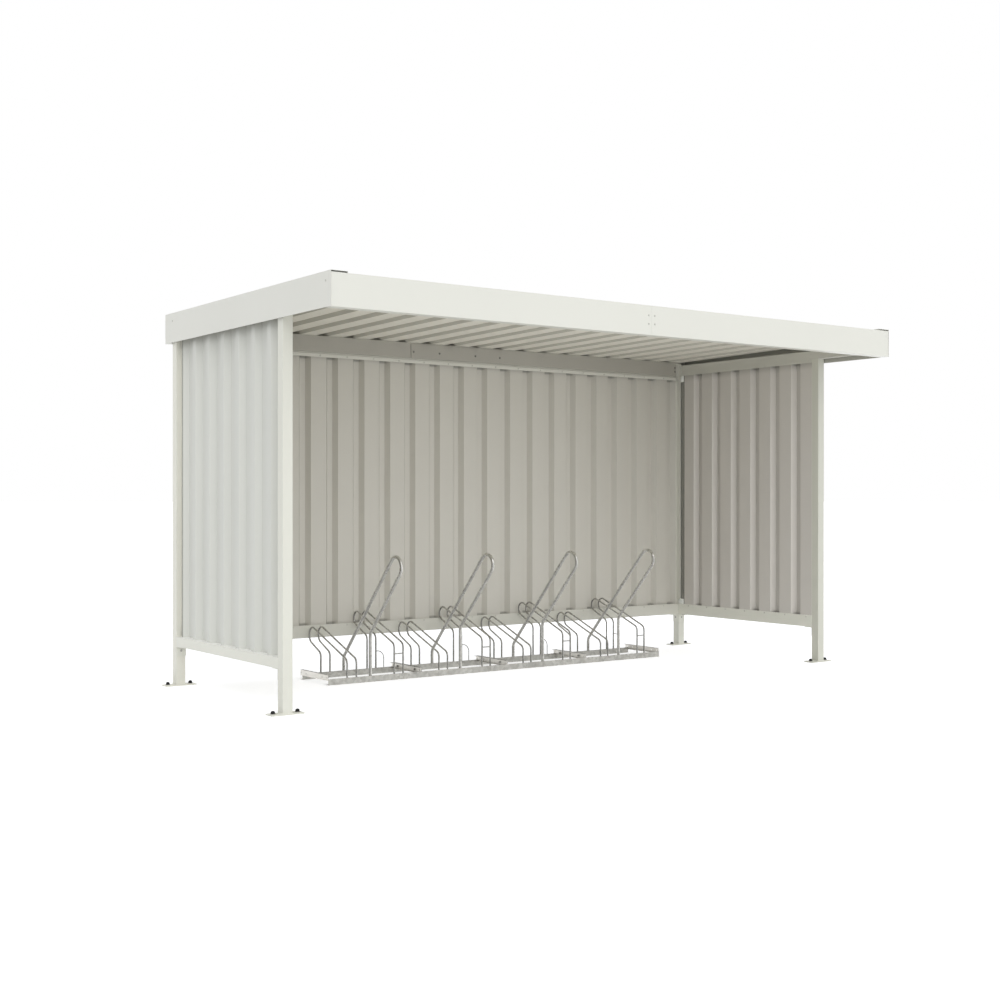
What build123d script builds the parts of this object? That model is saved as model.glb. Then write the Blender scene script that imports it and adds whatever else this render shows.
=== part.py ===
from build123d import *
from math import atan2, ceil, cos, floor, hypot, radians, sin, tan
import os

os.makedirs("parts", exist_ok=True)

# Roof edge: folded sheet fascia all round, length along X and depth along Y
roof_length = 4380
roof_depth = 2190
fascia_bottom = 2170
fascia_sheet = 2
long_fascia_height = 178
long_fascia_setback = 2.5
long_bottom_lip = 65
long_top_lip = 25
front_end_tab = 75
back_end_tab = 135
long_tab_margin = 12
side_fascia_height = 187
side_top_leg = 100
side_leg_drop = 8
seam_gap = 1
seam_plate_width = 80
seam_plate_height = 85
seam_plate_thickness = 2

# Posts of square tube, each with a base plate
post_size = 60
post_wall = 3
side_post_setback = 15
front_post_setback = 571
back_post_setback = 85
plate_length = 200
plate_width = 80
plate_thickness = 8
anchor_pitch = 150
anchor_hole = 14

# Side beams of square tube on the posts, back beam of rectangular tube between them
beam_width = 60
beam_wall = 3
side_beam_height = 60
side_beam_lift = 27
back_beam_height = 110
splice_shift = -35
splice_length = 800
splice_height = 90
splice_thickness = 4
cleat_leg = 30
cleat_top_gap = 6
cleat_thickness = 4
ledge_angle_leg = 50
ledge_angle_wall = 3

# Trapezoid sheet, four sheets side by side on the roof and on the back wall
rib_pitch = 207
rib_top = 40
rib_foot = 92
rib_depth = 35
sheet = 1
sheet_count = 4
lap_gap = 1
roof_fall = 1 / 70
roof_edge_gap = 4
back_rib_shift = -15
side_rib_offset = 15

# Wall panels
rail_bottom = 250
rail_height = 60
rail_wall = 3
rail_lip_height = 25
rail_lip_foot = 20
rail_lip = 2
wall_clearance = 1
back_trim_drop = 34
back_trim_step = 12
back_trim_setback = 10
side_trim_leg = 24
side_trim_web = 40
trim_sheet = 2
side_sheet_gap = 32
edge_channel_width = 28
edge_channel_inner_leg = 24
edge_channel_outer_leg = 38
edge_channel_wall = 2
edge_channel_lift = 62
edge_channel_top_gap = 9
bracket_width = 70
bracket_height = 62
bracket_thickness = 4

# Bike rack: four equal units side by side
rack_units = 4
rack_unit_length = 700
rack_centre_x = 15
rack_to_posts = 540
rack_rail_spacing = 352
rack_angle_height = 40
rack_angle_width = 30
rack_angle_wall = 4
end_bar_top = 65
end_bar_height = 37
end_bar_width = 20
end_bar_wall = 3
end_bar_hole = 9
end_hole_inset = 20
end_hole_pitch = 60
bar_diameter = 12
knee_radius = 40
return_radius = 44
tail_slope = 0.45
cradle_slope = 0.38
holder_gap = 68
low_holder_offset = 175
low_rear_knee = 164
low_front_knee = 152
low_tail_reach = 520
high_holder_offset = 526
high_rear_knee = 257
high_front_knee = 233
high_tail_reach = 540
cross_bar_height = 169
cross_bar_diameter = 8
eye_wire = 6
eye_height = 152
eye_reach = 62
eye_radius = 50
loop_offset = 315
loop_diameter = 22
loop_wall = 2
loop_radius = 66
loop_lean = 47
loop_rear_knee = 131
loop_reach = 909
loop_knee_radius = 60

front_y = -roof_depth / 2
back_y = roof_depth / 2
front_web = front_y + long_fascia_setback
back_web = back_y - long_fascia_setback
half_length = roof_length / 2
back_beam_bottom = fascia_bottom + fascia_sheet
side_beam_bottom = back_beam_bottom + side_beam_lift
post_x = half_length - side_post_setback - post_size / 2
post_inner_x = post_x - post_size / 2
front_post_y = front_y + front_post_setback + post_size / 2
back_post_y = back_y - back_post_setback - post_size / 2
side_wall_front = front_post_y + post_size / 2
side_wall_back = back_post_y - post_size / 2
rack_front = side_wall_back - rack_to_posts


def finish(part, name):
    part.label = name
    export_step(part, "parts/" + name + ".step")


def rib_height(distance, grow):
    half_top = rib_top / 2 + grow
    half_foot = rib_foot / 2 + grow
    share = (half_foot - distance) / (half_foot - half_top)
    return rib_depth * min(1, max(0, share))


def sheet_side(start, end, first_rib, grow):
    """Points of one face of the folded sheet, from start to end across the ribs."""
    nearest = first_rib + rib_pitch * round((start - first_rib) / rib_pitch)
    points = [(start, rib_height(abs(start - nearest), grow))]
    for n in range(floor((start - first_rib) / rib_pitch), ceil((end - first_rib) / rib_pitch) + 1):
        centre = first_rib + n * rib_pitch
        for reach, height in ((-rib_foot, 0), (-rib_top, rib_depth), (rib_top, rib_depth), (rib_foot, 0)):
            across = centre + reach / 2 + (grow if reach > 0 else -grow)
            if start < across < end:
                points.append((across, height))
    nearest = first_rib + rib_pitch * round((end - first_rib) / rib_pitch)
    points.append((end, rib_height(abs(end - nearest), grow)))
    return points


def sheet_outline(start, end, first_rib):
    """Closed outline (across, height) of a trapezoid sheet with even thickness."""
    flank_angle = atan2(rib_depth, (rib_foot - rib_top) / 2)
    grow = sheet * tan(flank_angle / 2)
    lower = sheet_side(start, end, first_rib, 0)
    upper = [(across, height + sheet) for across, height in sheet_side(start, end, first_rib, grow)]
    return lower + upper[::-1]


# Posts, each welded to its base plate
for name, x, y in (
    ("post_front_left", -post_x, front_post_y),
    ("post_front_right", post_x, front_post_y),
    ("post_back_left", -post_x, back_post_y),
    ("post_back_right", post_x, back_post_y),
):
    with BuildPart() as post:
        with BuildSketch(Plane.XY):
            with Locations((x, y)):
                Rectangle(plate_length, plate_width)
            with Locations((x - anchor_pitch / 2, y), (x + anchor_pitch / 2, y)):
                Circle(anchor_hole / 2, mode=Mode.SUBTRACT)
        extrude(amount=plate_thickness)
        with BuildSketch(Plane.XY.offset(plate_thickness)):
            with Locations((x, y)):
                Rectangle(post_size, post_size)
                Rectangle(post_size - 2 * post_wall, post_size - 2 * post_wall, mode=Mode.SUBTRACT)
        extrude(amount=side_beam_bottom - plate_thickness)
    finish(post.part, name)

# Side beams along Y, from the front fascia to the back fascia
beam_end = back_web - fascia_sheet
side_beam_centre = side_beam_bottom + side_beam_height / 2
for name, x in (("side_beam_left", -post_x), ("side_beam_right", post_x)):
    with BuildPart() as side_beam:
        with BuildSketch(Plane.XZ.offset(-beam_end)):
            with Locations((x, side_beam_centre)):
                Rectangle(beam_width, side_beam_height)
                Rectangle(beam_width - 2 * beam_wall, side_beam_height - 2 * beam_wall, mode=Mode.SUBTRACT)
        extrude(amount=2 * beam_end)
    finish(side_beam.part, name)

# Back beam between the side beams, in two halves that meet behind the splice plate
back_beam_centre = back_beam_bottom + back_beam_height / 2
for name, start, end in (
    ("back_beam_left", -post_inner_x, splice_shift - seam_gap / 2),
    ("back_beam_right", splice_shift + seam_gap / 2, post_inner_x),
):
    with BuildPart() as back_beam:
        with BuildSketch(Plane.YZ.offset(start)):
            with Locations((back_post_y, back_beam_centre)):
                Rectangle(beam_width, back_beam_height)
                Rectangle(beam_width - 2 * beam_wall, back_beam_height - 2 * beam_wall, mode=Mode.SUBTRACT)
        extrude(amount=end - start)
    finish(back_beam.part, name)

# Splice plate over the joint of the back beam
beam_face = back_post_y - beam_width / 2
with BuildPart() as splice_plate:
    with BuildSketch(Plane.XZ.offset(-beam_face)):
        with Locations((splice_shift, back_beam_centre)):
            Rectangle(splice_length, splice_height)
    extrude(amount=splice_thickness)
finish(splice_plate.part, "splice_plate")

# Cleats in the corners between the back beam and the side beams
cleat_bottom = back_beam_bottom - back_trim_drop
with BuildPart() as beam_cleats:
    for side in (-1, 1):
        corner = side * post_inner_x
        inner = side * (post_inner_x - cleat_thickness)
        tip = side * (post_inner_x - cleat_leg)
        with BuildSketch(Plane.XY.offset(cleat_bottom)):
            with BuildLine():
                Polyline(
                    (corner, beam_face),
                    (corner, beam_face - cleat_leg),
                    (inner, beam_face - cleat_leg),
                    (inner, beam_face - cleat_thickness),
                    (tip, beam_face - cleat_thickness),
                    (tip, beam_face),
                    close=True,
                )
            make_face()
        extrude(amount=back_trim_drop + back_beam_height - cleat_top_gap)
finish(beam_cleats.part, "beam_cleats")

# Roof plane: the sheets lie on the back beam and rise towards the front
beam_top = back_beam_bottom + back_beam_height
beam_rear = back_post_y + beam_width / 2


def roof_underside(y):
    return beam_top + (beam_rear - y) * roof_fall


# Angle inside the front fascia that carries the front ends of the roof sheets
angle_front = front_web + fascia_sheet
angle_back = angle_front + ledge_angle_leg
angle_top = roof_underside(angle_back)
with BuildPart() as roof_ledge:
    with BuildSketch(Plane.YZ.offset(-post_inner_x)):
        with BuildLine():
            Polyline(
                (angle_front, angle_top),
                (angle_back, angle_top),
                (angle_back, angle_top - ledge_angle_wall),
                (angle_front + ledge_angle_wall, angle_top - ledge_angle_wall),
                (angle_front + ledge_angle_wall, angle_top - ledge_angle_leg),
                (angle_front, angle_top - ledge_angle_leg),
                close=True,
            )
        make_face()
    extrude(amount=2 * post_inner_x)
finish(roof_ledge.part, "roof_ledge")

# Roof sheets, joined on top of a rib, with a flat pan on the centre line
roof_sheet_back = back_web - fascia_sheet - roof_edge_gap
roof_sheet_front = front_web + long_top_lip + roof_edge_gap
roof_run = hypot(roof_sheet_back - roof_sheet_front, (roof_sheet_back - roof_sheet_front) * roof_fall)
roof_first_rib = rib_pitch / 2
roof_sheet_edge = half_length - fascia_sheet - roof_edge_gap
roof_ribs_per_sheet = round(2 * roof_sheet_edge / (sheet_count * rib_pitch))
roof_lap = roof_ribs_per_sheet * rib_pitch
roof_joints = (roof_first_rib - roof_lap, roof_first_rib, roof_first_rib + roof_lap)
roof_cuts = (-roof_sheet_edge, *roof_joints, roof_sheet_edge)
roof_plane = Plane(
    origin=(0, roof_sheet_back, roof_underside(roof_sheet_back)),
    x_dir=(1, 0, 0),
    z_dir=(0, -1, roof_fall),
)
for n in range(sheet_count):
    outline = sheet_outline(roof_cuts[n] + lap_gap / 2, roof_cuts[n + 1] - lap_gap / 2, roof_first_rib)
    with BuildPart() as roof_sheet:
        with BuildSketch(roof_plane):
            with BuildLine():
                Polyline(*outline, close=True)
            make_face()
        extrude(amount=roof_run)
    finish(roof_sheet.part, "roof_sheet_" + str(n + 1))

# Front and back fascias fit between the side ones, set back from their edges, in two halves,
# each with a tab behind the side fascia
long_outline = (
    (0, 0),
    (long_bottom_lip, 0),
    (long_bottom_lip, fascia_sheet),
    (fascia_sheet, fascia_sheet),
    (fascia_sheet, long_fascia_height - fascia_sheet),
    (long_top_lip, long_fascia_height - fascia_sheet),
    (long_top_lip, long_fascia_height),
    (0, long_fascia_height),
)
long_end = half_length - fascia_sheet
for name, edge, inward, tab in (
    ("fascia_front", front_web, 1, front_end_tab),
    ("fascia_back", back_web, -1, back_end_tab),
):
    for half, start, side in (("_left", -long_end, -1), ("_right", seam_gap / 2, 1)):
        with BuildPart() as long_fascia:
            with BuildSketch(Plane.YZ.offset(start)):
                with BuildLine():
                    Polyline(*[(edge + inward * a, fascia_bottom + b) for a, b in long_outline], close=True)
                make_face()
            extrude(amount=long_end - seam_gap / 2)
            tab_x = side * (long_end - fascia_sheet / 2)
            tab_y = edge + inward * (fascia_sheet + tab / 2)
            with BuildSketch(Plane.XY.offset(fascia_bottom + long_tab_margin)):
                with Locations((tab_x, tab_y)):
                    Rectangle(fascia_sheet, tab)
            extrude(amount=long_fascia_height - 2 * long_tab_margin)
        finish(long_fascia.part, name + half)

# Plates behind the seams of the front and back fascias
with BuildPart() as seam_plates:
    for edge, inward in ((front_web, 1), (back_web, -1)):
        with BuildSketch(Plane.XY.offset(fascia_bottom + fascia_sheet)):
            with Locations((0, edge + inward * (fascia_sheet + seam_plate_thickness / 2))):
                Rectangle(seam_plate_width, seam_plate_thickness)
        extrude(amount=seam_plate_height)
finish(seam_plates.part, "seam_plates")

# Side fascias run the full depth, their top leg covers the outer rib of the roof sheets
side_outline = (
    (0, 0),
    (fascia_sheet, 0),
    (fascia_sheet, side_fascia_height - fascia_sheet),
    (side_top_leg - fascia_sheet, side_fascia_height - fascia_sheet),
    (side_top_leg - fascia_sheet, side_fascia_height - side_leg_drop),
    (side_top_leg, side_fascia_height - side_leg_drop),
    (side_top_leg, side_fascia_height),
    (0, side_fascia_height),
)
for name, side in (("fascia_left", -1), ("fascia_right", 1)):
    with BuildPart() as side_fascia:
        with BuildSketch(Plane.XZ.offset(-back_y)):
            with BuildLine():
                points = [(side * (half_length - a), fascia_bottom + b) for a, b in side_outline]
                Polyline(*points, close=True)
            make_face()
        extrude(amount=roof_depth)
    finish(side_fascia.part, name)

# Bottom rails of the walls: square tube, at the sides with a strip along the inner face
rail_centre = rail_bottom + rail_height / 2
rail_top = rail_bottom + rail_height
strip_height = rail_lip_height + rail_lip_foot
strip_centre = rail_top - rail_lip_foot + strip_height / 2
for name, side in (("bottom_rail_left", -1), ("bottom_rail_right", 1)):
    with BuildPart() as side_rail:
        with BuildSketch(Plane.XZ.offset(-side_wall_back)):
            with Locations((side * post_x, rail_centre)):
                Rectangle(post_size, rail_height)
                Rectangle(post_size - 2 * rail_wall, rail_height - 2 * rail_wall, mode=Mode.SUBTRACT)
            with Locations((side * (post_inner_x - rail_lip / 2), strip_centre)):
                Rectangle(rail_lip, strip_height)
        extrude(amount=side_wall_back - side_wall_front)
    finish(side_rail.part, name)

with BuildPart() as bottom_rail_back:
    with BuildSketch(Plane.YZ.offset(-post_inner_x)):
        with Locations((back_post_y, rail_centre)):
            Rectangle(post_size, rail_height)
            Rectangle(post_size - 2 * rail_wall, rail_height - 2 * rail_wall, mode=Mode.SUBTRACT)
        with Locations((beam_face + rail_lip / 2, rail_top + rail_lip_height / 2)):
            Rectangle(rail_lip, rail_lip_height)
    extrude(amount=2 * post_inner_x)
finish(bottom_rail_back.part, "bottom_rail_back")

# Top trim of the back wall: folded sheet under the beam, its leg hangs in front of the sheets
step_y = beam_face + back_trim_setback
step_z = back_beam_bottom - back_trim_step
with BuildPart() as top_trim_back:
    with BuildSketch(Plane.YZ.offset(-post_inner_x)):
        with BuildLine():
            Polyline(
                (step_y, back_beam_bottom),
                (beam_rear, back_beam_bottom),
                (beam_rear, back_beam_bottom - trim_sheet),
                (step_y + trim_sheet, back_beam_bottom - trim_sheet),
                (step_y + trim_sheet, step_z - trim_sheet),
                (beam_face + trim_sheet, step_z - trim_sheet),
                (beam_face + trim_sheet, back_beam_bottom - back_trim_drop),
                (beam_face, back_beam_bottom - back_trim_drop),
                (beam_face, step_z),
                (step_y, step_z),
                close=True,
            )
        make_face()
    extrude(amount=2 * post_inner_x)
finish(top_trim_back.part, "top_trim_back")

# Top trims of the side walls: an angle under each side beam, from the front post to the cleat
side_trim_outline = (
    (-trim_sheet, 0),
    (side_trim_web - trim_sheet, 0),
    (side_trim_web - trim_sheet, -trim_sheet),
    (0, -trim_sheet),
    (0, -side_trim_leg),
    (-trim_sheet, -side_trim_leg),
)
side_trim_back = side_wall_back - cleat_leg
for name, side in (("top_trim_left", -1), ("top_trim_right", 1)):
    with BuildPart() as side_trim:
        with BuildSketch(Plane.XZ.offset(-side_trim_back)):
            with BuildLine():
                Polyline(
                    *[(side * (post_inner_x + a), side_beam_bottom + b) for a, b in side_trim_outline],
                    close=True,
                )
            make_face()
        extrude(amount=side_trim_back - side_wall_front)
    finish(side_trim.part, name)

# Side wall sheets stand on the rails, ribs outwards, their flat parts flush with the posts' inner faces
side_sheet_top = side_beam_bottom - trim_sheet
side_outer_rib = side_wall_back - side_rib_offset
side_sheet_ends = (side_wall_front + wall_clearance, side_wall_back - side_sheet_gap)
for name, side in (("wall_sheet_left", -1), ("wall_sheet_right", 1)):
    outline = sheet_outline(*side_sheet_ends, side_outer_rib)
    with BuildPart() as side_sheet:
        with BuildSketch(Plane.XY.offset(rail_top)):
            with BuildLine():
                points = [(side * (post_inner_x + height), across) for across, height in outline]
                Polyline(*points, close=True)
            make_face()
        extrude(amount=side_sheet_top - rail_top)
    finish(side_sheet.part, name)

# Back wall sheets, ribs outwards and flush with the posts' outer faces, joined on top of a rib
back_zone = beam_rear - rib_depth - sheet
back_edge = post_inner_x - wall_clearance
back_lap = round(2 * back_edge / (sheet_count * rib_pitch)) * rib_pitch
back_cuts = (-back_edge, back_rib_shift - back_lap, back_rib_shift, back_rib_shift + back_lap, back_edge)
back_sheet_top = back_beam_bottom - trim_sheet
for n in range(sheet_count):
    outline = sheet_outline(back_cuts[n] + lap_gap / 2, back_cuts[n + 1] - lap_gap / 2, back_rib_shift)
    with BuildPart() as back_sheet:
        with BuildSketch(Plane.XY.offset(rail_top)):
            with BuildLine():
                Polyline(*[(across, back_zone + height) for across, height in outline], close=True)
            make_face()
        extrude(amount=back_sheet_top - rail_top)
    finish(back_sheet.part, "wall_sheet_back_" + str(n + 1))

# Edge channels on the back posts, one leg flush with the wall and one behind the last rib
channel_outline = (
    (-edge_channel_wall, 0),
    (-edge_channel_wall, -edge_channel_inner_leg),
    (0, -edge_channel_inner_leg),
    (0, -edge_channel_wall),
    (edge_channel_width - 2 * edge_channel_wall, -edge_channel_wall),
    (edge_channel_width - 2 * edge_channel_wall, -edge_channel_outer_leg),
    (edge_channel_width - edge_channel_wall, -edge_channel_outer_leg),
    (edge_channel_width - edge_channel_wall, 0),
)
channel_bottom = rail_top + edge_channel_lift
with BuildPart() as edge_channels:
    for side in (-1, 1):
        with BuildSketch(Plane.XY.offset(channel_bottom)):
            with BuildLine():
                points = [(side * (post_inner_x + a), side_wall_back + b) for a, b in channel_outline]
                Polyline(*points, close=True)
            make_face()
        extrude(amount=cleat_bottom - edge_channel_top_gap - channel_bottom)
finish(edge_channels.part, "edge_channels")

# Brackets that carry the ends of the rails, fixed to the posts below them
bracket_outline = (
    (0, 0),
    (bracket_width, 0),
    (bracket_width, -bracket_thickness),
    (bracket_thickness, -bracket_thickness),
    (bracket_thickness, -bracket_height),
    (0, -bracket_height),
)
with BuildPart() as rail_brackets:
    for side in (-1, 1):
        for edge, inward in ((side_wall_front, 1), (side_wall_back, -1)):
            with BuildSketch(Plane.YZ.offset(side * post_x - post_size / 2)):
                with BuildLine():
                    Polyline(*[(edge + inward * a, rail_bottom + b) for a, b in bracket_outline], close=True)
                make_face()
            extrude(amount=post_size)
        with BuildSketch(Plane.XZ.offset(-back_post_y - post_size / 2)):
            with BuildLine():
                points = [(side * (post_inner_x - a), rail_bottom + b) for a, b in bracket_outline]
                Polyline(*points, close=True)
            make_face()
        extrude(amount=post_size)
finish(rail_brackets.part, "rail_brackets")

# Rack frames: two angles with an upright bar of channel at each end, open towards the middle
rack_start = rack_centre_x - rack_units * rack_unit_length / 2
rear_rail_front = rack_front + rack_rail_spacing
end_bar_back = rear_rail_front + rack_angle_width
end_bar_bottom = end_bar_top - end_bar_height
angle_outline = (
    (0, 0),
    (rack_angle_width, 0),
    (rack_angle_width, rack_angle_wall),
    (rack_angle_wall, rack_angle_wall),
    (rack_angle_wall, rack_angle_height),
    (0, rack_angle_height),
)
first_hole_y = rack_front + rack_angle_wall + end_hole_inset
last_hole_y = end_bar_back - end_hole_inset
end_hole_ys = (first_hole_y, first_hole_y + end_hole_pitch, last_hole_y - end_hole_pitch, last_hole_y)

for unit in range(rack_units):
    start = rack_start + unit * rack_unit_length
    with BuildPart() as rack_frame:
        for rail_y in (rack_front, rear_rail_front):
            with BuildSketch(Plane.YZ.offset(start)):
                with BuildLine():
                    Polyline(*[(rail_y + a, b) for a, b in angle_outline], close=True)
                make_face()
            extrude(amount=rack_unit_length)
        for web, inward in ((start, 1), (start + rack_unit_length, -1)):
            with BuildSketch(Plane.XZ.offset(-end_bar_back)):
                with BuildLine():
                    Polyline(
                        (web, end_bar_bottom),
                        (web + inward * end_bar_width, end_bar_bottom),
                        (web + inward * end_bar_width, end_bar_bottom + end_bar_wall),
                        (web + inward * end_bar_wall, end_bar_bottom + end_bar_wall),
                        (web + inward * end_bar_wall, end_bar_top - end_bar_wall),
                        (web + inward * end_bar_width, end_bar_top - end_bar_wall),
                        (web + inward * end_bar_width, end_bar_top),
                        (web, end_bar_top),
                        close=True,
                    )
                make_face()
            extrude(amount=end_bar_back - rack_front - rack_angle_wall)
            with BuildSketch(Plane.YZ.offset(web)):
                with Locations(*[(y, (end_bar_bottom + end_bar_top) / 2) for y in end_hole_ys]):
                    Circle(end_bar_hole / 2)
            extrude(amount=inward * end_bar_wall, mode=Mode.SUBTRACT)
    finish(rack_frame.part, "rack_frame_" + str(unit + 1))

# Wheel holders: two bent bars each, standing in the front and rear angles
front_foot_y = rack_front + rack_angle_wall + bar_diameter / 2
rear_foot_y = rear_rail_front + rack_angle_wall + bar_diameter / 2


def bent_bar(x, rear_knee, front_knee, tail_reach):
    """Corners of one bar: rear leg, slanting tail with a tight return, front leg."""
    tail_y = rack_front + tail_reach
    return (
        (x, rear_foot_y, rack_angle_wall),
        (x, rear_foot_y, rear_knee),
        (x, tail_y, rear_knee + (tail_y - rear_foot_y) * tail_slope),
        (x, tail_y, front_knee + (tail_y - front_foot_y) * cradle_slope),
        (x, front_foot_y, front_knee),
        (x, front_foot_y, rack_angle_wall),
    )


bar_radii = [knee_radius, return_radius, return_radius, knee_radius]
with BuildPart() as low_holders:
    for unit in range(rack_units):
        low_x = rack_start + unit * rack_unit_length + low_holder_offset
        for x in (low_x - holder_gap / 2, low_x + holder_gap / 2):
            with BuildLine() as bar_path:
                corners = bent_bar(x, low_rear_knee, low_front_knee, low_tail_reach)
                FilletPolyline(*corners, radius=bar_radii)
            with BuildSketch(Plane(origin=bar_path.line @ 0, z_dir=bar_path.line % 0)):
                Circle(bar_diameter / 2)
            sweep(path=bar_path.line)
finish(low_holders.part, "low_holders")

# The high holders also have a cross bar between the front legs and a wire eye beside the right bar
with BuildPart() as high_holders:
    for unit in range(rack_units):
        left_bar_x = rack_start + unit * rack_unit_length + high_holder_offset - holder_gap / 2
        right_bar_x = left_bar_x + holder_gap
        for x in (left_bar_x, right_bar_x):
            with BuildLine() as bar_path:
                corners = bent_bar(x, high_rear_knee, high_front_knee, high_tail_reach)
                FilletPolyline(*corners, radius=bar_radii)
            with BuildSketch(Plane(origin=bar_path.line @ 0, z_dir=bar_path.line % 0)):
                Circle(bar_diameter / 2)
            sweep(path=bar_path.line)
        with BuildSketch(Plane.YZ.offset(left_bar_x)):
            with Locations((front_foot_y, cross_bar_height)):
                Circle(cross_bar_diameter / 2)
        extrude(amount=holder_gap)
        with BuildLine() as eye_path:
            FilletPolyline(
                (right_bar_x, rear_foot_y, eye_height),
                (right_bar_x + eye_reach, rear_foot_y, eye_height),
                (right_bar_x + eye_reach, rear_foot_y, rack_angle_wall),
                radius=eye_radius,
            )
        with BuildSketch(Plane(origin=eye_path.line @ 0, z_dir=eye_path.line % 0)):
            Circle(eye_wire / 2)
        sweep(path=eye_path.line)
finish(high_holders.part, "high_holders")

# Leaning loops: one tube per unit, bent to a slanting loop on two upright legs
lean = radians(loop_lean)
front_leg_y = rack_front + rack_angle_wall + loop_diameter / 2
rear_leg_y = rear_rail_front + rack_angle_wall + loop_diameter / 2
loop_front_knee = loop_rear_knee + (rack_rail_spacing * sin(lean) - 2 * loop_radius) / cos(lean)
bend_y = rear_leg_y - loop_reach * cos(lean)
bend_z = loop_rear_knee + loop_reach * sin(lean)
crown_y = bend_y - loop_radius * (sin(lean) + cos(lean))
crown_z = bend_z + loop_radius * (sin(lean) - cos(lean))
far_y = bend_y - 2 * loop_radius * sin(lean)
far_z = bend_z - 2 * loop_radius * cos(lean)
with BuildPart() as leaning_loops:
    for unit in range(rack_units):
        x = rack_start + unit * rack_unit_length + loop_offset
        with BuildLine() as loop_path:
            FilletPolyline(
                (x, rear_leg_y, rack_angle_wall),
                (x, rear_leg_y, loop_rear_knee),
                (x, bend_y, bend_z),
                radius=loop_knee_radius,
            )
            ThreePointArc((x, bend_y, bend_z), (x, crown_y, crown_z), (x, far_y, far_z))
            FilletPolyline(
                (x, far_y, far_z),
                (x, front_leg_y, loop_front_knee),
                (x, front_leg_y, rack_angle_wall),
                radius=loop_knee_radius,
            )
        with BuildSketch(Plane(origin=loop_path.line @ 0, z_dir=loop_path.line % 0)):
            Circle(loop_diameter / 2)
            Circle(loop_diameter / 2 - loop_wall, mode=Mode.SUBTRACT)
        sweep(path=loop_path.line)
finish(leaning_loops.part, "leaning_loops")
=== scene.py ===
import math
import random

import bmesh
import bpy
from mathutils import Matrix, Vector


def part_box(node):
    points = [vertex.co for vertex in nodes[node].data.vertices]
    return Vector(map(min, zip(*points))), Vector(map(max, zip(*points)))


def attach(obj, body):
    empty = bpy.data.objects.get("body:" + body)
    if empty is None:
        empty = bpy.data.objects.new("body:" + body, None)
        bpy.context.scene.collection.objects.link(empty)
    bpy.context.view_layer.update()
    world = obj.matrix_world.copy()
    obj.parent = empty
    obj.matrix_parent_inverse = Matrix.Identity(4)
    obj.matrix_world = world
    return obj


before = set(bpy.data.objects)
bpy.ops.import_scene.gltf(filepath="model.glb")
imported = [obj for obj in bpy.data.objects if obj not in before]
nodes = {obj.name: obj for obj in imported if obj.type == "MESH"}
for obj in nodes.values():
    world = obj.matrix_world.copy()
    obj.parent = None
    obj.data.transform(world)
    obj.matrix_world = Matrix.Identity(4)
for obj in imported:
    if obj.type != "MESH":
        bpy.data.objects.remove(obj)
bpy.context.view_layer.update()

random.seed(7)

# Directions, the pitch of the sheets' ribs in metres and the fall of the roof to the back
up, down = (0, 0, 1), (0, 0, -1)
front, back = (0, -1, 0), (0, 1, 0)
left, right = (-1, 0, 0), (1, 0, 0)
rib_pitch = 0.207
roof_fall = 1 / 70

# Camera at the photograph's viewing angle
camera = bpy.data.objects.new("Camera", bpy.data.cameras.new("Camera"))
bpy.context.scene.collection.objects.link(camera)
bpy.context.scene.camera = camera
camera.location = (-5.6420, -7.4079, 1.1849)
camera.rotation_euler = [math.radians(turn) for turn in (89.9396, -0.0187, -35.5749)]
camera.data.sensor_width = 36
camera.data.lens = 50.264
bpy.context.scene.view_settings.view_transform = "Standard"


class Tree:
    """A node tree, with short calls to add and link nodes."""

    def __init__(self, tree):
        self.tree = tree

    def link(self, source, target):
        """Links an output to a socket, or sets the socket to a plain value."""
        if hasattr(source, "is_output"):
            self.tree.links.new(source, target)
        else:
            target.default_value = source

    def fill(self, node, **sources):
        """Links or sets the inputs of a node, named with _ for each space."""
        for name, source in sources.items():
            self.link(source, node.inputs[name.replace("_", " ")])
        return node

    def add(self, kind, **settings):
        node = self.tree.nodes.new(kind)
        for key, value in settings.items():
            setattr(node, key, value)
        return node

    def combine(self, operation, first, second):
        node = self.add("ShaderNodeMath", operation=operation)
        self.link(first, node.inputs[0])
        self.link(second, node.inputs[1])
        return node.outputs["Value"]

    def times(self, first, second):
        return self.combine("MULTIPLY", first, second)

    def along(self, vector, direction):
        node = self.add("ShaderNodeVectorMath", operation="DOT_PRODUCT")
        self.link(vector, node.inputs[0])
        self.link(direction, node.inputs[1])
        return node.outputs["Value"]

    def ramp(self, value, start, end, low=0.0, high=1.0, kind="SMOOTHSTEP"):
        """Goes from low to high while the value goes from start to end."""
        node = self.add("ShaderNodeMapRange", interpolation_type=kind)
        self.fill(node, Value=value, From_Min=start, From_Max=end, To_Min=low, To_Max=high)
        return node.outputs["Result"]

    def direct(self):
        """1 for the rays that show a surface itself, 0 for those that only bring its light."""
        path = self.add("ShaderNodeLightPath").outputs
        shown = self.combine("MAXIMUM", path["Is Camera Ray"], path["Is Glossy Ray"])
        return self.combine("MAXIMUM", shown, path["Is Transmission Ray"])

    def shaders(self, share, first, second):
        node = self.fill(self.add("ShaderNodeMixShader"), Fac=share)
        self.link(first, node.inputs[1])
        self.link(second, node.inputs[2])
        return node.outputs["Shader"]


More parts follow.
